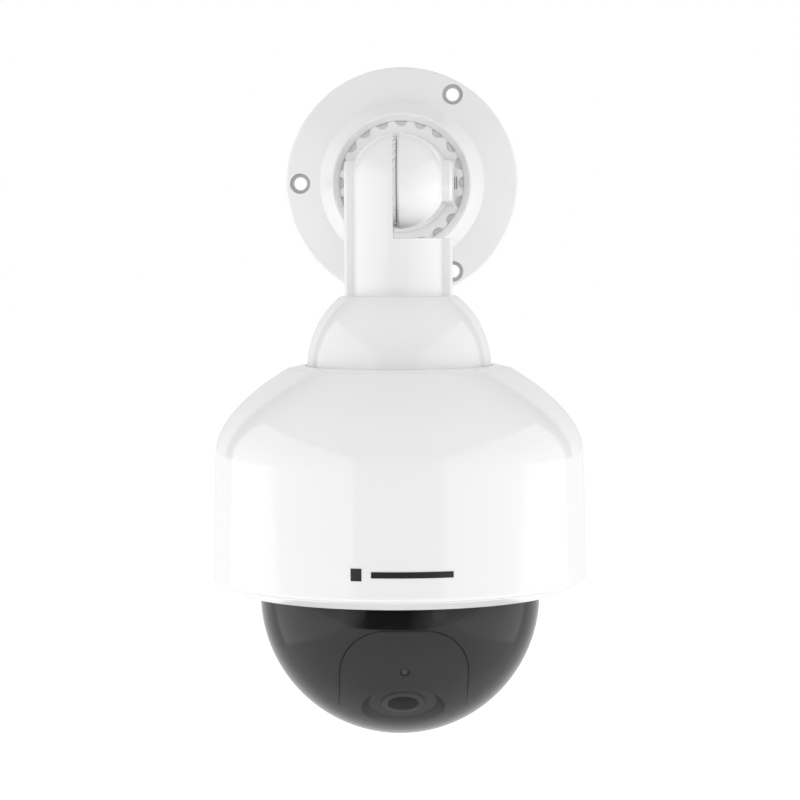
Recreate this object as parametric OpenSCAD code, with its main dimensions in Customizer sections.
/* [Wall flange] */
// Diameter of the round flange that is screwed to the wall
flange_d = 100; // [98:1:108]
// Height of the flange at its rim
flange_rim_h = 4; // [3:0.5:5]
// Diameter of the circle that the three wall screws lie on
flange_pcd = 88; // [86:1:90]
// Diameter of a wall screw hole
flange_hole_d = 5.6; // [4:0.2:6]
// Diameter of the recess round a wall screw hole
flange_recess_d = 8.8; // [7:0.2:9.5]
// Diameter of the cable entry through the flange
entry_d = 30; // [20:1:34]

/* [Lock ring] */
// Outer diameter of the ring nut that clamps the arm
ring_d = 53.2; // [52:0.1:54]
// Inner diameter of the ring nut
ring_bore_d = 42.4; // [42:0.1:44]
// Number of spanner notches round the ring nut
ring_notches = 20; // [12:1:24]
// Radius of one spanner notch
notch_r = 2.7; // [2:0.1:3]

/* [Bracket] */
// Distance from the wall to the axis of the pendant
arm_reach = 94; // [92:1:120]
// Radius of the round tube of arm and pendant
tube_r = 19.3; // [19:0.1:19.6]
// Half the width of the tube between its flattened sides
tube_flat = 18.1; // [17.6:0.1:18.4]
// Distance of a side rail's outer face from the tube's axis
rail_x = 21.6; // [21:0.1:24]
// Half the width of a side rail, and the radius of its round end
rail_r = 8.2; // [7:0.1:9]
// Distance from the knuckle axis to where the tube is full width
cut_d = 23; // [22:0.5:25]
// Length of the pendant tube below the knuckle axis
drop_len = 46; // [44:1:60]

/* [Housing] */
// Radius of the round neck under the pendant tube
neck_r = 37.2; // [36:0.1:38]
// Height of the neck from its flat top to the housing
neck_h = 29; // [27:1:30]
// Radius of the housing at its bottom
body_r = 75.5; // [75:0.5:78]
// Radius of the housing where the shoulder begins
body_top_r = 74.5; // [74:0.1:75]
// Radius of the flat top of the housing
crown_r = 45.3; // [44:0.1:50]
// Height of the curved shoulder
shoulder_h = 35.3; // [34:0.1:38]
// Height of the housing
body_h = 85; // [85:0.5:90]
// Wall thickness of the housing and neck
wall = 2.6; // [2.2:0.1:2.8]

/* [Dome] */
// Outer radius of the smoked dome
dome_r = 56.4; // [55.8:0.1:56.6]
// Wall thickness of the smoked dome
dome_wall = 1.9; // [1.7:0.1:2]
// Radius of the camera ball inside the dome
ball_r = 53.5; // [53:0.1:53.6]
// Wall thickness of the camera ball
ball_wall = 2; // [1.8:0.1:2.2]
// Angle of the lens below the horizon at rest
lens_down = 54.6; // [50:0.2:60]
// Angle that the camera head is turned to the right at rest
rest_pan = 3; // [-180:1:180]
// Half the width of the arched lens panel
panel_half = 25; // [24:0.5:26]
// Radius of the rim of the dish round the lens
dish_r = 16.6; // [15:0.2:17]

/* [Hidden] */
$fn = 72;

// small amount by which a cutter passes a face
eps = 0.5;
// radial clearance of a turning fit
fit = 0.05;

// heights above the wall
hub_floor_h = 5;
plate_h0 = 5.2;
plate_h1 = 8.8;
ring_h0 = 9;
ring_h1 = 15;
hub_bore_r = ring_d / 2 + fit;
hub_crest_r = 29.5;
hub_crest_h = 18;
hub_foot_r = 35;
hub_foot_h = 8;
neck_top_h = 16;
collar_t = 1.6;
collar_r = 21;
collar_step = 0.9;
rail_foot_h = neck_top_h + collar_t;
gasket_t = 1.2;
gasket_r0 = 29;
gasket_r1 = 38;
notch_depth = 2.2;
root_screw_ring = 17;

// knuckle, measured along its axis
tooth_count = 30;
tooth_h = 1.3;
tooth_inner_r = 14;
tooth_outer_r = 18.6;
drop_face_x = -2;
disc_t = 0.8;
arm_face_x = disc_t / 2;
chamber_r = 11;
chamber_depth = 12;
bolt_r = 3;
sleeve_r = 5.2;
cable_r = 13;
passage_r = 4.5;
passage_x = 8.2;
cable_end = 28;
head_r = 5;
head_seat = 15;
cap_t = 1.6;

// screws that recur
small_screw_r = 1.3;
neck_screw_r = 1.5;
clamp_screw_r = 0.9;
tube_screw_ring = 16.1;
tube_screw_depth = 10;

// levels of the pendant, measured up from the knuckle axis
neck_top_z = -drop_len;
crown_z = neck_top_z - neck_h;
waist_z = crown_z - shoulder_h;
base_z = crown_z - body_h;
lip_r0 = neck_r + 0.5;
lip_r1 = neck_r + 3;
lip_h = 1.2;
cable_hole_r = 12;
body_post_r = 4;
neck_screw_ring = 27;
body_screw_ring = 64.2;
body_screw_r = 1.5;
chassis_ring = 54;
shoulder_steps = 24;

// bezel and dome
bezel_h = 4;
bezel_foot_r = 66.5;
bezel_edge_r = 74;
bezel_ledge_z = base_z - 1;
spigot_r0 = 69.5;
spigot_r1 = 71.8;
spigot_h = 8;
dome_z = base_z - 6.3;
dome_flange_r = 58.8;
dome_flange_t = 2;
clamp_t = 2.5;
clamp_r = 62.6;
clamp_hole_ring = 60.6;

// chassis and pan drive
chassis_z = crown_z - 25;
chassis_t = 3;
chassis_r = 58;
bearing_r = 16;
bearing_bore_r = 10;
bearing_h = 7;
bearing_cup_r = 19;
groove_r0 = 11.6;
groove_r1 = 14.4;
gear_m = 1;
pan_teeth = 60;
pan_pinion_teeth = 15;
pan_centre = gear_m * (pan_teeth + pan_pinion_teeth) / 2 + 0.1;
gear_top_z = chassis_z - 5;
gear_t = 4.5;
yoke_top_z = gear_top_z - gear_t;
yoke_t = 3.5;
yoke_r = 43;
pan_motor_r = 14;
pan_motor_h = 15;
motor_shaft_r = 1.5;

// tilt drive, measured along the tilt axis
yoke_arm_x0 = 38;
yoke_arm_x1 = 41;
yoke_arm_half = 9;
axle_r = 3;
bush_r = 5;
tilt_gear_m = 0.8;
tilt_teeth = 40;
tilt_pinion_teeth = 12;
tilt_centre = tilt_gear_m * (tilt_teeth + tilt_pinion_teeth) / 2 + 0.1;
tilt_gear_x = 30;
tilt_gear_t = 4;
tilt_motor_r = 8;
tilt_motor_len = 14;
cheek_x0 = 23;
cheek_x1 = 26;
ball_rim_z = 22;
arm_slot_z = 10;
panel_gap = 0.35;
panel_top_z = -8.1;
panel_corner = 17.5;
panel_back_y = 8;

// lens, measured out from the centre of the ball
dish_rim_h = sqrt(ball_r * ball_r - dish_r * dish_r);
dish_depth = 2.6;
dish_floor_h = dish_rim_h - dish_depth;
dish_floor_r = 9;
aperture_r = 7.3;
board_h = 18.4;
board_t = 1.6;
board_side = 38;
post_x = 16;
post_y = 17;
post_r = 2.2;
holder_h = 12;
holder_r = 9;
thread_r = 6;
barrel_foot_h = 24;
barrel_face_h = dish_floor_h + 1.2;
led_angle = 27;

// ---- placement -------------------------------------------------------------------------------

// stands a shape on the wall, with its own +Z pointing away from the wall
module on_wall() {
    rotate([90, 0, 0]) children();
}

// moves a shape to the knuckle axis
module at_knuckle() {
    translate([0, -arm_reach, 0]) children();
}

// moves a shape to the pan axis and turns it with the camera head
module at_head() {
    at_knuckle() rotate([0, 0, rest_pan]) children();
}

// moves a shape to the centre of the ball and turns it with the camera head
module at_ball() {
    at_head() translate([0, 0, dome_z]) children();
}

// turns a shape's own +Z along the lens axis
module at_lens() {
    at_ball() rotate([90 + lens_down, 0, 0]) children();
}

// turns a shape's own +Z along +X
module along_x() {
    rotate([0, 90, 0]) children();
}

// repeats a shape round +Z
module ring_of(count, radius, first = 0) {
    for (i = [0:count - 1])
        rotate([0, 0, first + i * 360 / count]) translate([radius, 0, 0]) children();
}

// ---- shapes that are used more than once --------------------------------------------------------

// a flat ring that stands on z = 0
module washer_ring(outer, inner, thick) {
    difference() {
        cylinder(r = outer, h = thick);
        translate([0, 0, -eps]) cylinder(r = inner, h = thick + 2 * eps);
    }
}

// a screw with its head's underside at z = 0 and its shank pointing up
module screw(shank_r, length, cap_r, cap_h) {
    difference() {
        union() {
            translate([0, 0, -cap_h]) cylinder(r = cap_r, h = cap_h);
            cylinder(r = shank_r, h = length);
        }
        translate([0, 0, -cap_h - eps]) cylinder(r = cap_r * 0.45, h = eps + cap_h * 0.6, $fn = 6);
    }
}

// the involute of an angle, in degrees
function involute(a) = tan(a) * 180 / PI - a;

// half the angle that a tooth spans at a radius
function half_tooth(m, teeth, radius, slack) =
    90 / teeth - slack + involute(20)
    - involute(acos(min(1, m * teeth * cos(20) / 2 / max(radius, m * teeth * cos(20) / 2))));

// the outline of a spur gear with a tooth on +X
module gear_outline(m, teeth) {
    pitch_r = m * teeth / 2;
    root_r = pitch_r - 1.25 * m;
    slack = 4 * m / pitch_r;
    radii = [root_r, pitch_r - 0.5 * m, pitch_r, pitch_r + 0.5 * m, pitch_r + 0.95 * m];
    rising = [for (k = [0:4]) [radii[k], -half_tooth(m, teeth, radii[k], slack)]];
    falling = [for (k = [4:-1:0]) [radii[k], half_tooth(m, teeth, radii[k], slack)]];
    tooth = concat(rising, falling);
    polygon([for (i = [0:teeth - 1]) for (p = tooth)
        let (a = p[1] + i * 360 / teeth) [p[0] * cos(a), p[0] * sin(a)]]);
}

// the solid tube of arm or pendant, hanging down from the knuckle axis
module limb_solid(length, rail_length) {
    intersection() {
        union() {
            sphere(r = tube_r);
            translate([0, 0, -length]) cylinder(r = tube_r, h = length);
        }
        translate([-tube_flat, -tube_r - eps, -length])
            cube([2 * tube_flat, 2 * (tube_r + eps), length + tube_r + eps]);
    }
    translate([-rail_x, -rail_r, -rail_length]) cube([2 * rail_x, 2 * rail_r, rail_length]);
    translate([-rail_x, 0, 0]) along_x() cylinder(r = rail_r, h = 2 * rail_x);
}

// the limb's half knuckle, with its seam face, cable way and bolt hole; side is +1 or -1 along X
module limb(length, rail_length, side, face) {
    big = 4 * tube_r;
    difference() {
        union() {
            difference() {
                limb_solid(length, rail_length);
                // the other limb's half of the knuckle
                translate([side > 0 ? -big + face : face, -big / 2, -cut_d]) cube([big, big, big]);
                // cable chamber round the bolt
                translate([side > 0 ? face - eps : face - chamber_depth, 0, 0])
                    along_x() cylinder(r = chamber_r, h = chamber_depth + eps);
            }
            // sleeve that the bolt runs through
            translate([side > 0 ? face : face - chamber_depth - eps, 0, 0])
                along_x() cylinder(r = sleeve_r, h = chamber_depth + eps);
        }
        // cable way down the tube
        translate([0, 0, -length - eps]) cylinder(r = cable_r, h = length - cable_end + eps);
        translate([side * passage_x, 0, -cable_end - eps])
            cylinder(r = passage_r, h = cable_end - chamber_r + 2.5);
        // bolt hole and the seat of its head or nut
        translate([-big / 2, 0, 0]) along_x() cylinder(r = bolt_r + fit, h = big);
        translate([side > 0 ? head_seat : -head_seat - big, 0, 0])
            along_x() cylinder(r = head_r + 1.2, h = big);
    }
}

// half-profile of the housing's shoulder, from the crown down
function shoulder(top_r, drop_r, top_z, height) = [for (i = [0:shoulder_steps])
    let (u = 1 - i / shoulder_steps) [top_r - drop_r * u * u, top_z - height * (1 - u)]];

// the housing without its hollow, with a crown that rises to the foot of the neck
module housing_outer() {
    rotate_extrude() polygon(concat(
        [[0, crown_z + lip_h], [lip_r1, crown_z + lip_h]],
        shoulder(body_top_r, body_top_r - crown_r, crown_z, shoulder_h),
        [[body_r, base_z + 1], [body_r - 1, base_z], [0, base_z]]));
}

module housing_inner() {
    rotate_extrude() polygon(concat(
        [[0, crown_z - wall]],
        shoulder(body_top_r - wall, body_top_r - crown_r, crown_z - wall, shoulder_h - wall),
        [[body_r - wall, base_z - eps], [0, base_z - eps]]));
}

// prism whose front view is the arched outline of the lens panel
module arch_prism(grow) {
    half = panel_half + grow;
    top = panel_top_z + grow;
    corner = panel_corner + grow;
    foot = -ball_r - 2;
    rotate([90, 0, 0]) translate([0, 0, -panel_back_y - grow])
        linear_extrude(height = ball_r + panel_back_y + 10) union() {
            translate([-half, foot]) square([2 * half, top - corner - foot]);
            translate([-half + corner, foot]) square([2 * (half - corner), top - foot]);
            translate([-half + corner, top - corner]) circle(r = corner);
            translate([half - corner, top - corner]) circle(r = corner);
        }
}

module hollow_ball(outer, thick) {
    difference() {
        sphere(r = outer);
        sphere(r = outer - thick);
    }
}

// ---- wall flange and lock ring -----------------------------------------------------------------

module wall_flange() color("whitesmoke") on_wall() {
    difference() {
        rotate_extrude() polygon([
            [entry_d / 2, 0], [flange_d / 2, 0], [flange_d / 2, flange_rim_h - 0.6],
            [flange_d / 2 - 0.8, flange_rim_h], [hub_foot_r + 0.6, hub_foot_h - 0.8],
            [hub_foot_r, hub_foot_h], [hub_crest_r + 0.8, hub_crest_h - 0.6],
            [hub_crest_r, hub_crest_h], [hub_crest_r - 0.6, hub_crest_h - 0.4],
            [hub_bore_r, ring_h1 - 0.5], [hub_bore_r, hub_floor_h], [entry_d / 2, hub_floor_h]]);
        ring_of(3, flange_pcd / 2, 60) {
            translate([0, 0, -eps]) cylinder(r = flange_hole_d / 2, h = hub_crest_h);
            translate([0, 0, flange_rim_h + 0.1]) cylinder(r = flange_recess_d / 2, h = hub_crest_h);
        }
        translate([0, 0, -eps]) washer_ring(gasket_r1, gasket_r0, gasket_t + eps);
    }
}

module flange_gasket() color("dimgray") on_wall() {
    washer_ring(gasket_r1, gasket_r0, gasket_t);
}

module lock_ring() color("white") on_wall() translate([0, 0, ring_h0]) {
    difference() {
        cylinder(r = ring_d / 2, h = ring_h1 - ring_h0);
        translate([0, 0, -eps]) cylinder(r = ring_bore_d / 2, h = ring_h1);
        ring_of(ring_notches, ring_d / 2 + 0.4, 90)
            translate([0, 0, ring_h1 - ring_h0 - notch_depth]) cylinder(r = notch_r, h = ring_h1);
    }
}

// ---- arm ------------------------------------------------------------------------------------------

module wall_arm() color("white") {
    difference() {
        union() {
            at_knuckle() rotate([90, 0, 0])
                limb(arm_reach - neck_top_h, arm_reach - rail_foot_h, 1, arm_face_x);
            on_wall() difference() {
                union() {
                    translate([0, 0, plate_h1])
                        cylinder(r = ring_bore_d / 2 - fit, h = neck_top_h - plate_h1);
                    for (step = [0, 1]) translate([0, 0, neck_top_h + step * collar_t]) {
                        cylinder(r = collar_r - step * collar_step, h = collar_t);
                        translate([-rail_x - 1 + step * collar_step, -rail_r - 1 + step * collar_step, 0])
                            cube([2 * (rail_x + 1 - step * collar_step),
                                2 * (rail_r + 1 - step * collar_step), collar_t]);
                    }
                }
                translate([0, 0, -eps]) cylinder(r = cable_r, h = neck_top_h + 2 * collar_t + 1);
            }
        }
        on_wall() ring_of(3, root_screw_ring, 90)
            translate([0, 0, -eps]) cylinder(r = small_screw_r, h = neck_top_h);
    }
}

module arm_root_plate() color("silver") on_wall() translate([0, 0, plate_h0]) {
    difference() {
        washer_ring(ring_d / 2 - 0.2, cable_r, plate_h1 - plate_h0);
        ring_of(3, root_screw_ring, 90)
            translate([0, 0, -eps]) cylinder(r = small_screw_r, h = neck_top_h);
        ring_of(3, root_screw_ring, 90)
            translate([0, 0, -eps]) cylinder(r = 2 * small_screw_r, h = eps + 1.8);
    }
}

module root_plate_screws() color("silver") on_wall()
    ring_of(3, root_screw_ring, 90) translate([0, 0, plate_h0 + 1.8]) screw(small_screw_r, 8, 2.4, 1.6);

module friction_disc() color("gainsboro") at_knuckle()
    translate([-disc_t / 2, 0, 0]) along_x() washer_ring(tube_r - 0.6, chamber_r, disc_t);

module knuckle_bolt() color("silver") at_knuckle() along_x() {
    difference() {
        union() {
            translate([0, 0, -head_seat - 3]) cylinder(r = bolt_r, h = 2 * head_seat + 3);
            translate([0, 0, head_seat]) cylinder(r = head_r, h = 4);
        }
        translate([0, 0, head_seat + 1.5]) cylinder(r = 2.8, h = 4, $fn = 6);
    }
}

module arm_bolt_cap() color("whitesmoke") at_knuckle()
    translate([rail_x - cap_t, 0, 0]) along_x() cylinder(r = head_r + 1.2, h = cap_t);

// ---- pendant tube and neck ----------------------------------------------------------------------

module drop_tube() color("white") at_knuckle() {
    difference() {
        limb(drop_len, drop_len, -1, drop_face_x);
        translate([drop_face_x - 1.5, 0, 0]) along_x()
            washer_ring(tooth_outer_r, tooth_inner_r - 1.5, 4);
        translate([0, 0, neck_top_z]) ring_of(3, tube_screw_ring, 30)
            translate([0, 0, -eps]) cylinder(r = small_screw_r, h = tube_screw_depth + eps);
    }
}

module ratchet_ring() color("white") at_knuckle() translate([drop_face_x - 1.5, 0, 0]) along_x() {
    washer_ring(tooth_outer_r, tooth_inner_r - 1.5, 1.5);
    // radial teeth, one short prism each
    ring_of(tooth_count, tooth_inner_r) translate([0, 0, 1.5]) rotate([90, 0, 90])
        linear_extrude(height = tooth_outer_r - tooth_inner_r - 0.15)
            polygon([[-1.1, -0.2], [1.1, -0.2], [1.1, 0], [0, tooth_h], [-1.1, 0]]);
}

module knuckle_nut() color("silver") at_knuckle()
    translate([-head_seat - 4, 0, 0]) along_x() difference() {
        cylinder(r = head_r + 0.4, h = 3, $fn = 6);
        translate([0, 0, -eps]) cylinder(r = bolt_r + fit, h = 5);
    }

module nut_washer() color("silver") at_knuckle()
    translate([-head_seat - 1, 0, 0]) along_x() washer_ring(head_r + 0.9, bolt_r + fit, 1);

module tube_bolt_cap() color("whitesmoke") at_knuckle()
    translate([-rail_x, 0, 0]) along_x() cylinder(r = head_r + 1.2, h = cap_t);

module tube_screws() color("silver") at_knuckle()
    translate([0, 0, neck_top_z - 3]) ring_of(3, tube_screw_ring, 30) screw(small_screw_r, 11, 2.6, 1.8);

module neck_dome() color("white") at_knuckle() {
    difference() {
        union() {
            difference() {
                intersection() {
                    translate([0, 0, crown_z]) sphere(r = neck_r);
                    translate([0, 0, crown_z]) cylinder(r = neck_r + 1, h = neck_h);
                }
                intersection() {
                    translate([0, 0, crown_z]) sphere(r = neck_r - wall);
                    translate([0, 0, crown_z - eps]) cylinder(r = neck_r, h = neck_h - 3 + eps);
                }
            }
            // screw posts inside the neck
            intersection() {
                translate([0, 0, crown_z]) ring_of(4, neck_screw_ring, 45) cylinder(r = 4, h = neck_h);
                translate([0, 0, crown_z]) sphere(r = neck_r - wall / 2);
            }
        }
        translate([0, 0, crown_z]) cylinder(r = cable_r, h = neck_h + eps);
        translate([0, 0, crown_z]) ring_of(4, neck_screw_ring, 45)
            translate([0, 0, -eps]) cylinder(r = neck_screw_r, h = 12 + eps);
        translate([0, 0, neck_top_z]) ring_of(3, tube_screw_ring, 30)
            translate([0, 0, -4]) cylinder(r = small_screw_r, h = 5);
    }
}

module neck_gasket() color("dimgray") at_knuckle() translate([0, 0, crown_z - 1]) difference() {
    washer_ring(neck_r, 20, 1);
    ring_of(4, neck_screw_ring, 45)
        translate([0, 0, -eps]) cylinder(r = neck_screw_r + 0.3, h = 1 + 2 * eps);
}

module neck_screws() color("silver") at_knuckle()
    translate([0, 0, crown_z - wall]) ring_of(4, neck_screw_ring, 45) screw(neck_screw_r, 12, 3, 2.2);

// ---- housing -----------------------------------------------------------------------------------------

module housing_shell() color("white") at_knuckle() {
    difference() {
        union() {
            difference() {
                housing_outer();
                housing_inner();
            }
            intersection() {
                union() {
                    // posts for the chassis
                    translate([0, 0, chassis_z]) ring_of(4, chassis_ring, 45)
                        cylinder(r = body_post_r - 0.4, h = crown_z - chassis_z);
                    // posts for the bezel, each with a rib to the wall
                    translate([0, 0, bezel_ledge_z]) ring_of(4, body_screw_ring, 45) {
                        cylinder(r = body_post_r, h = crown_z - bezel_ledge_z);
                        translate([0, -1.5, 1]) cube([9.5, 3, crown_z - bezel_ledge_z - 1]);
                    }
                }
                union() {
                    housing_outer();
                    translate([0, 0, bezel_ledge_z]) cylinder(r = 69, h = 10);
                }
            }
        }
        // seat of the neck gasket and the cable hole
        translate([0, 0, crown_z - 1]) cylinder(r = lip_r0, h = 3);
        translate([0, 0, crown_z - 5]) cylinder(r = cable_hole_r, h = 6);
        translate([0, 0, crown_z]) ring_of(4, neck_screw_ring, 45)
            translate([0, 0, -5]) cylinder(r = neck_screw_r + 0.2, h = 6);
        translate([0, 0, chassis_z]) ring_of(4, chassis_ring, 45)
            translate([0, 0, -eps]) cylinder(r = small_screw_r, h = 8 + eps);
        translate([0, 0, bezel_ledge_z]) ring_of(4, body_screw_ring, 45)
            translate([0, 0, -eps]) cylinder(r = body_screw_r, h = 12 + eps);
    }
}

module cable_grommet() color("dimgray") at_knuckle() translate([0, 0, crown_z - wall - 2]) {
    difference() {
        union() {
            cylinder(r = cable_hole_r + 2.5, h = 2);
            cylinder(r = cable_hole_r, h = wall + 1);
        }
        translate([0, 0, -eps]) cylinder(r = 4, h = 8);
    }
}

module chassis_plate() color("silver") at_knuckle() translate([0, 0, chassis_z]) {
    difference() {
        union() {
            translate([0, 0, -chassis_t]) cylinder(r = chassis_r, h = chassis_t);
            translate([0, 0, -bearing_h]) cylinder(r = bearing_cup_r, h = bearing_h + 1);
        }
        translate([0, 0, -bearing_h - eps]) cylinder(r = bearing_r, h = bearing_h + eps);
        cylinder(r = 13, h = 3);
        ring_of(4, chassis_ring, 45) translate([0, 0, -5]) cylinder(r = small_screw_r + 0.3, h = 8);
        translate([pan_centre, 0, -5]) cylinder(r = 4, h = 8);
    }
}

module chassis_screws() color("silver") at_knuckle()
    translate([0, 0, chassis_z - chassis_t]) ring_of(4, chassis_ring, 45) screw(small_screw_r, 10, 2.8, 1.8);

module pan_bearing() color("silver") at_knuckle() translate([0, 0, chassis_z - bearing_h]) {
    difference() {
        washer_ring(bearing_r, bearing_bore_r, bearing_h);
        // shield grooves
        translate([0, 0, -eps]) washer_ring(groove_r1, groove_r0, eps + 0.5);
        translate([0, 0, bearing_h - 0.5]) washer_ring(groove_r1, groove_r0, 1);
    }
}

module pan_motor() color("silver") at_knuckle() translate([pan_centre, 0, chassis_z]) difference() {
    union() {
        cylinder(r = pan_motor_r, h = pan_motor_h - 1);
        cylinder(r = pan_motor_r - 1.5, h = pan_motor_h);
        translate([-5, -18, 0]) cube([10, 36, 1.2]);
    }
    translate([0, 0, -eps]) cylinder(r = motor_shaft_r + fit, h = 8);
}

module main_board() color("darkgreen") at_knuckle() translate([-50, -26, chassis_z + 8]) difference() {
    cube([36, 52, 1.6]);
    for (x = [4, 32]) for (y = [4, 48])
        translate([x, y, -eps]) cylinder(r = small_screw_r, h = 3);
}

module board_standoffs() color("gold") at_knuckle() translate([-50, -26, chassis_z])
    for (x = [4, 32]) for (y = [4, 48]) translate([x, y, 0]) {
        cylinder(r = 2.5, h = 8);
        cylinder(r = small_screw_r, h = 10.5);
    }

module board_parts() color("black") at_knuckle() translate([-50, -26, chassis_z + 9.6]) {
    translate([10, 20, 0]) cube([12, 12, 1.6]);
    translate([9, 36, 0]) cube([9, 6, 1.4]);
    for (y = [11, 17]) translate([29, y, 0]) cylinder(r = 2.5, h = 6);
}

module terminal_block() color("seagreen") at_knuckle() translate([-28, 8, chassis_z + 9.6]) difference() {
    cube([8, 12, 6]);
    for (y = [3, 9]) translate([4, y, 3]) cylinder(r = 1.2, h = 5);
}

module slip_ring_stator() color("dimgray") at_knuckle() translate([0, 0, chassis_z + 4]) difference() {
    union() {
        cylinder(r = 9, h = 9);
        translate([-18, -3, 5.6]) cube([12, 6, 1.5]);
    }
    translate([0, 0, -eps]) cylinder(r = 4 + fit, h = 7);
}

module bottom_bezel() color("white") at_knuckle() {
    difference() {
        rotate_extrude() polygon([
            [dome_r + 0.6, base_z - bezel_h], [bezel_foot_r, base_z - bezel_h],
            [bezel_edge_r, base_z - 0.4], [bezel_edge_r, base_z], [spigot_r1, base_z],
            [spigot_r1, base_z + spigot_h], [spigot_r0, base_z + spigot_h],
            [spigot_r0, bezel_ledge_z], [dome_r + 0.6, bezel_ledge_z]]);
        // room for the ribs of the posts
        translate([0, 0, bezel_ledge_z]) ring_of(4, body_screw_ring + 6.3, 45)
            translate([-2.5, -2, 0]) cube([5, 4, spigot_h + 2]);
        translate([0, 0, base_z - bezel_h]) ring_of(4, body_screw_ring, 45) {
            translate([0, 0, -eps]) cylinder(r = body_screw_r, h = 6);
            translate([0, 0, -eps]) cylinder(r = 2.3, h = 1.6 + eps);
        }
        translate([0, 0, bezel_ledge_z - 2]) ring_of(4, clamp_hole_ring, 0)
            cylinder(r = clamp_screw_r, h = 3);
    }
}

module bezel_screws() color("silver") at_knuckle()
    translate([0, 0, base_z - bezel_h + 1.6]) ring_of(4, body_screw_ring, 45)
        screw(body_screw_r, 10, 2.2, 1.5);

module dome_seal() color("black") at_knuckle()
    translate([0, 0, bezel_ledge_z]) washer_ring(dome_flange_r, dome_r + 0.8, 1);

module dome_cover() color([0.15, 0.15, 0.16, 0.6]) at_knuckle() {
    difference() {
        union() {
            translate([0, 0, dome_z]) sphere(r = dome_r);
            translate([0, 0, dome_z]) cylinder(r = dome_r, h = base_z - dome_z);
            translate([0, 0, base_z]) cylinder(r = dome_flange_r, h = dome_flange_t);
        }
        translate([0, 0, dome_z]) sphere(r = dome_r - dome_wall);
        translate([0, 0, dome_z]) cylinder(r = dome_r - dome_wall, h = dome_r + eps);
        translate([0, 0, base_z + dome_flange_t]) cylinder(r = dome_r + eps, h = dome_r);
    }
}

module dome_clamp_ring() color("gray") at_knuckle() translate([0, 0, base_z + dome_flange_t]) {
    difference() {
        union() {
            washer_ring(clamp_r, dome_r - 1, clamp_t);
            ring_of(4, clamp_hole_ring, 0)
                translate([0, 0, -dome_flange_t - 1]) cylinder(r = 1.5, h = dome_flange_t + 2);
        }
        ring_of(4, clamp_hole_ring, 0)
            translate([0, 0, -dome_flange_t - 2]) cylinder(r = clamp_screw_r, h = 8);
        // room for the housing's bezel posts
        ring_of(4, body_screw_ring, 45)
            translate([0, 0, -eps]) cylinder(r = body_post_r + 0.4, h = clamp_t + 2 * eps);
    }
}

module clamp_screws() color("silver") at_knuckle()
    translate([0, 0, base_z + dome_flange_t + clamp_t]) mirror([0, 0, 1])
        ring_of(4, clamp_hole_ring, 0) screw(clamp_screw_r, 7, 1.7, 1.2);

// ---- pan drive --------------------------------------------------------------------------------------

module pan_pinion() color("gold") at_knuckle() translate([pan_centre, 0, yoke_top_z + 0.2]) {
    linear_extrude(height = gear_t) gear_outline(gear_m, pan_pinion_teeth);
    cylinder(r = motor_shaft_r, h = chassis_z - yoke_top_z + 6);
}

module pan_yoke() color("dimgray") at_head() {
    difference() {
        union() {
            translate([0, 0, yoke_top_z - yoke_t]) cylinder(r = yoke_r, h = yoke_t);
            translate([0, 0, yoke_top_z - eps])
                cylinder(r = 12, h = chassis_z - bearing_h - 0.2 - yoke_top_z + eps);
            translate([0, 0, yoke_top_z - eps])
                cylinder(r = bearing_bore_r - fit, h = chassis_z + 2 - yoke_top_z + eps);
            for (side = [-1, 1]) {
                translate([side > 0 ? yoke_arm_x0 : -yoke_arm_x1, -yoke_arm_half, dome_z])
                    cube([yoke_arm_x1 - yoke_arm_x0, 2 * yoke_arm_half, yoke_top_z - dome_z - 1]);
                translate([side > 0 ? yoke_arm_x0 : -yoke_arm_x1, 0, dome_z])
                    along_x() cylinder(r = yoke_arm_half, h = yoke_arm_x1 - yoke_arm_x0);
            }
            // shelf that carries the tilt motor
            translate([12, -yoke_arm_half + 1, dome_z + 29])
                cube([yoke_arm_x1 - 12, 2 * yoke_arm_half - 2, 3]);
        }
        translate([0, 0, yoke_top_z - 20]) cylinder(r = 7, h = 60);
        translate([-50, 0, dome_z]) along_x() cylinder(r = bush_r, h = 100);
    }
}

module pan_gear() color("gainsboro") at_knuckle() translate([0, 0, yoke_top_z]) difference() {
    linear_extrude(height = gear_t) gear_outline(gear_m, pan_teeth);
    translate([0, 0, -eps]) cylinder(r = bearing_cup_r + 1.5, h = gear_t + 2 * eps);
}

module pan_circlip() color("dimgray") at_knuckle() translate([0, 0, chassis_z + 0.2]) difference() {
    washer_ring(12.2, bearing_bore_r - fit, 1);
    translate([9, -1.5, -eps]) cube([5, 3, 2]);
}

module slip_ring_rotor() color("dimgray") at_knuckle() translate([0, 0, yoke_top_z]) {
    cylinder(r = 7, h = chassis_z + 2 - yoke_top_z);
    cylinder(r = 4, h = chassis_z + 9 - yoke_top_z);
}

module tilt_bushes() color("gold") at_ball() for (side = [-1, 1])
    translate([side > 0 ? yoke_arm_x0 - 1 : -yoke_arm_x1, 0, 0]) along_x()
        washer_ring(bush_r, axle_r + fit, yoke_arm_x1 - yoke_arm_x0 + 1);

module tilt_motor() color("silver") at_ball()
    translate([tilt_gear_x - 2 - tilt_motor_len, 0, tilt_centre]) along_x() difference() {
        cylinder(r = tilt_motor_r, h = tilt_motor_len);
        translate([0, 0, 6]) cylinder(r = 1 + fit, h = 20);
    }

module tilt_pinion() color("gold") at_ball() translate([tilt_gear_x, 0, tilt_centre]) along_x() {
    rotate([0, 0, 180 / tilt_pinion_teeth])
        linear_extrude(height = tilt_gear_t) gear_outline(tilt_gear_m, tilt_pinion_teeth);
    translate([0, 0, -8]) cylinder(r = 1, h = 10);
}

// ---- camera ball --------------------------------------------------------------------------------------

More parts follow.
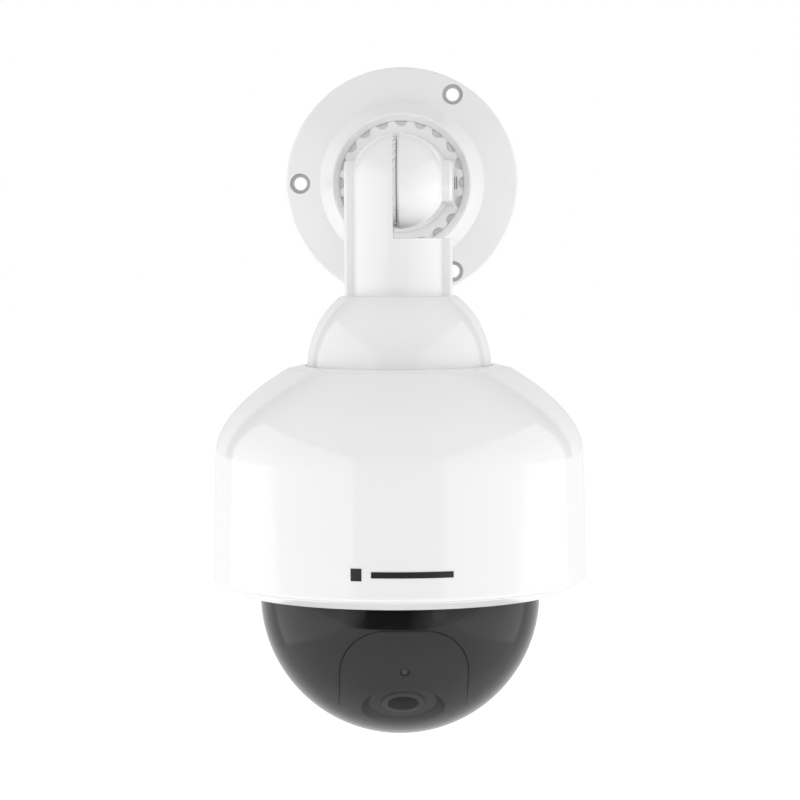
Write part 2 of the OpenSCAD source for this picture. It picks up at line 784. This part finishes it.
module ball_shell() color("darkslategray") at_ball() {
    boss_x = 43.5;
    difference() {
        union() {
            // open bowl, cut off level at its rim
            rotate_extrude() difference() {
                circle(r = ball_r);
                circle(r = ball_r - ball_wall);
                translate([-60, ball_rim_z]) square([120, 60]);
                translate([-60, -60]) square([60, 120]);
            }
            // bosses that the tilt axles are pressed into
            for (side = [-1, 1]) translate([side > 0 ? boss_x : -ball_r + 1.4, 0, 0])
                along_x() cylinder(r = 6, h = ball_r - 1.4 - boss_x);
        }
        for (side = [-1, 1]) translate([side > 0 ? yoke_arm_x0 - 1.2 : -yoke_arm_x1 - 1.2, -60, arm_slot_z])
            cube([yoke_arm_x1 - yoke_arm_x0 + 2.4, 120, 60]);
        arch_prism(panel_gap);
        for (side = [-1, 1]) translate([side > 0 ? boss_x - 1 : -49.5, 0, 0])
            along_x() cylinder(r = axle_r, h = 50.5 - boss_x);
    }
}

module lens_panel() color("darkslategray") {
    difference() {
        union() {
            at_ball() intersection() {
                hollow_ball(ball_r, ball_wall);
                arch_prism(0);
            }
            // wall of the dish, standing in behind the panel
            intersection() {
                at_lens() translate([0, 0, dish_floor_h - 1.5])
                    cylinder(r1 = dish_floor_r + 1, r2 = 2 * dish_r - dish_floor_r + 1, h = 2 * dish_depth);
                at_ball() sphere(r = ball_r - 0.5);
            }
        }
        at_lens() {
            translate([0, 0, dish_floor_h])
                cylinder(r1 = dish_floor_r, r2 = 2 * dish_r - dish_floor_r, h = 2 * dish_depth);
            translate([0, 0, dish_floor_h - 5]) cylinder(r = aperture_r, h = 20);
            rotate([-led_angle, 0, 0]) translate([0, 0, ball_r - 5]) cylinder(r = 1.6, h = 10);
        }
    }
}

module tilt_axles() color("silver") at_ball() for (side = [-1, 1])
    translate([side > 0 ? cheek_x0 : -49.5, 0, 0]) along_x() cylinder(r = axle_r, h = 49.5 - cheek_x0);

module tilt_gear() color("gainsboro") at_ball() translate([cheek_x1, 0, 0]) along_x() difference() {
    union() {
        cylinder(r = 7, h = tilt_gear_x - cheek_x1);
        translate([0, 0, tilt_gear_x - cheek_x1]) linear_extrude(height = tilt_gear_t)
            gear_outline(tilt_gear_m, tilt_teeth);
    }
    translate([0, 0, -eps]) cylinder(r = axle_r, h = 20);
}

module camera_cradle() color("dimgray") at_lens() {
    difference() {
        union() {
            translate([-cheek_x1, -20, board_h - 3]) cube([2 * cheek_x1, 40, 3]);
            for (side = [-1, 1]) translate([side > 0 ? cheek_x0 : -cheek_x1, 0, 0]) {
                translate([0, -9, 0]) cube([cheek_x1 - cheek_x0, 18, board_h]);
                along_x() cylinder(r = 9, h = cheek_x1 - cheek_x0);
            }
            // posts that the lens panel is fixed to
            intersection() {
                for (x = [-post_x, post_x]) for (y = [-post_y, post_y])
                    translate([x, y, board_h - 1]) cylinder(r = post_r, h = ball_r);
                sphere(r = ball_r - ball_wall);
            }
        }
        translate([-30, 0, 0]) along_x() cylinder(r = axle_r, h = 60);
    }
}

module camera_board() color("darkgreen") at_lens() difference() {
    translate([-board_side / 2, -board_side / 2, board_h]) cube([board_side, board_side, board_t]);
    for (x = [-post_x, post_x]) for (y = [-post_y, post_y])
        translate([x, y, board_h - eps]) cylinder(r = post_r, h = 4);
}

module image_sensor() color("black") at_lens()
    translate([-4, -4, board_h + board_t]) cube([8, 8, 1]);

module lens_holder() color("black") at_lens() translate([0, 0, board_h + board_t]) {
    difference() {
        union() {
            cylinder(r = holder_r, h = holder_h);
            translate([-10, -10, 0]) cube([20, 20, 3]);
        }
        translate([0, 0, -eps]) cylinder(r = thread_r + fit, h = holder_h + 2 * eps);
    }
}

module status_led() color("lightgray") at_lens() rotate([-led_angle, 0, 0]) {
    translate([0, 0, ball_r - 5]) cylinder(r = 1.6, h = 4.4);
    translate([0, 0, ball_r - 1.1]) sphere(r = 1.5);
}

module lens_barrel() color("black") at_lens() {
    difference() {
        union() {
            translate([0, 0, barrel_foot_h]) cylinder(r = thread_r, h = barrel_face_h - barrel_foot_h);
            translate([0, 0, 34]) cylinder(r = aperture_r - fit, h = barrel_face_h - 34);
        }
        // stepped mouth that narrows towards the glass
        for (i = [0:3]) translate([0, 0, barrel_face_h - 1.6 * (i + 1)])
            cylinder(r = 6.4 - 0.7 * i, h = 12);
        translate([0, 0, barrel_foot_h - eps]) cylinder(r = 3.8, h = 30);
    }
}

module lens_glass() color("lightblue") at_lens() translate([0, 0, barrel_face_h - 9]) intersection() {
    cylinder(r = 3.8, h = 4);
    translate([0, 0, -5.5]) sphere(r = 8.5);
}

wall_flange();
flange_gasket();
lock_ring();
wall_arm();
arm_root_plate();
root_plate_screws();
friction_disc();
knuckle_bolt();
arm_bolt_cap();
drop_tube();
ratchet_ring();
knuckle_nut();
nut_washer();
tube_bolt_cap();
tube_screws();
neck_dome();
neck_gasket();
neck_screws();
housing_shell();
cable_grommet();
chassis_plate();
chassis_screws();
pan_bearing();
pan_motor();
main_board();
board_standoffs();
board_parts();
terminal_block();
slip_ring_stator();
bottom_bezel();
bezel_screws();
dome_seal();
dome_cover();
dome_clamp_ring();
clamp_screws();
pan_pinion();
pan_yoke();
pan_gear();
pan_circlip();
slip_ring_rotor();
tilt_bushes();
tilt_motor();
tilt_pinion();
ball_shell();
lens_panel();
tilt_axles();
tilt_gear();
camera_cradle();
camera_board();
image_sensor();
lens_holder();
status_led();
lens_barrel();
lens_glass();
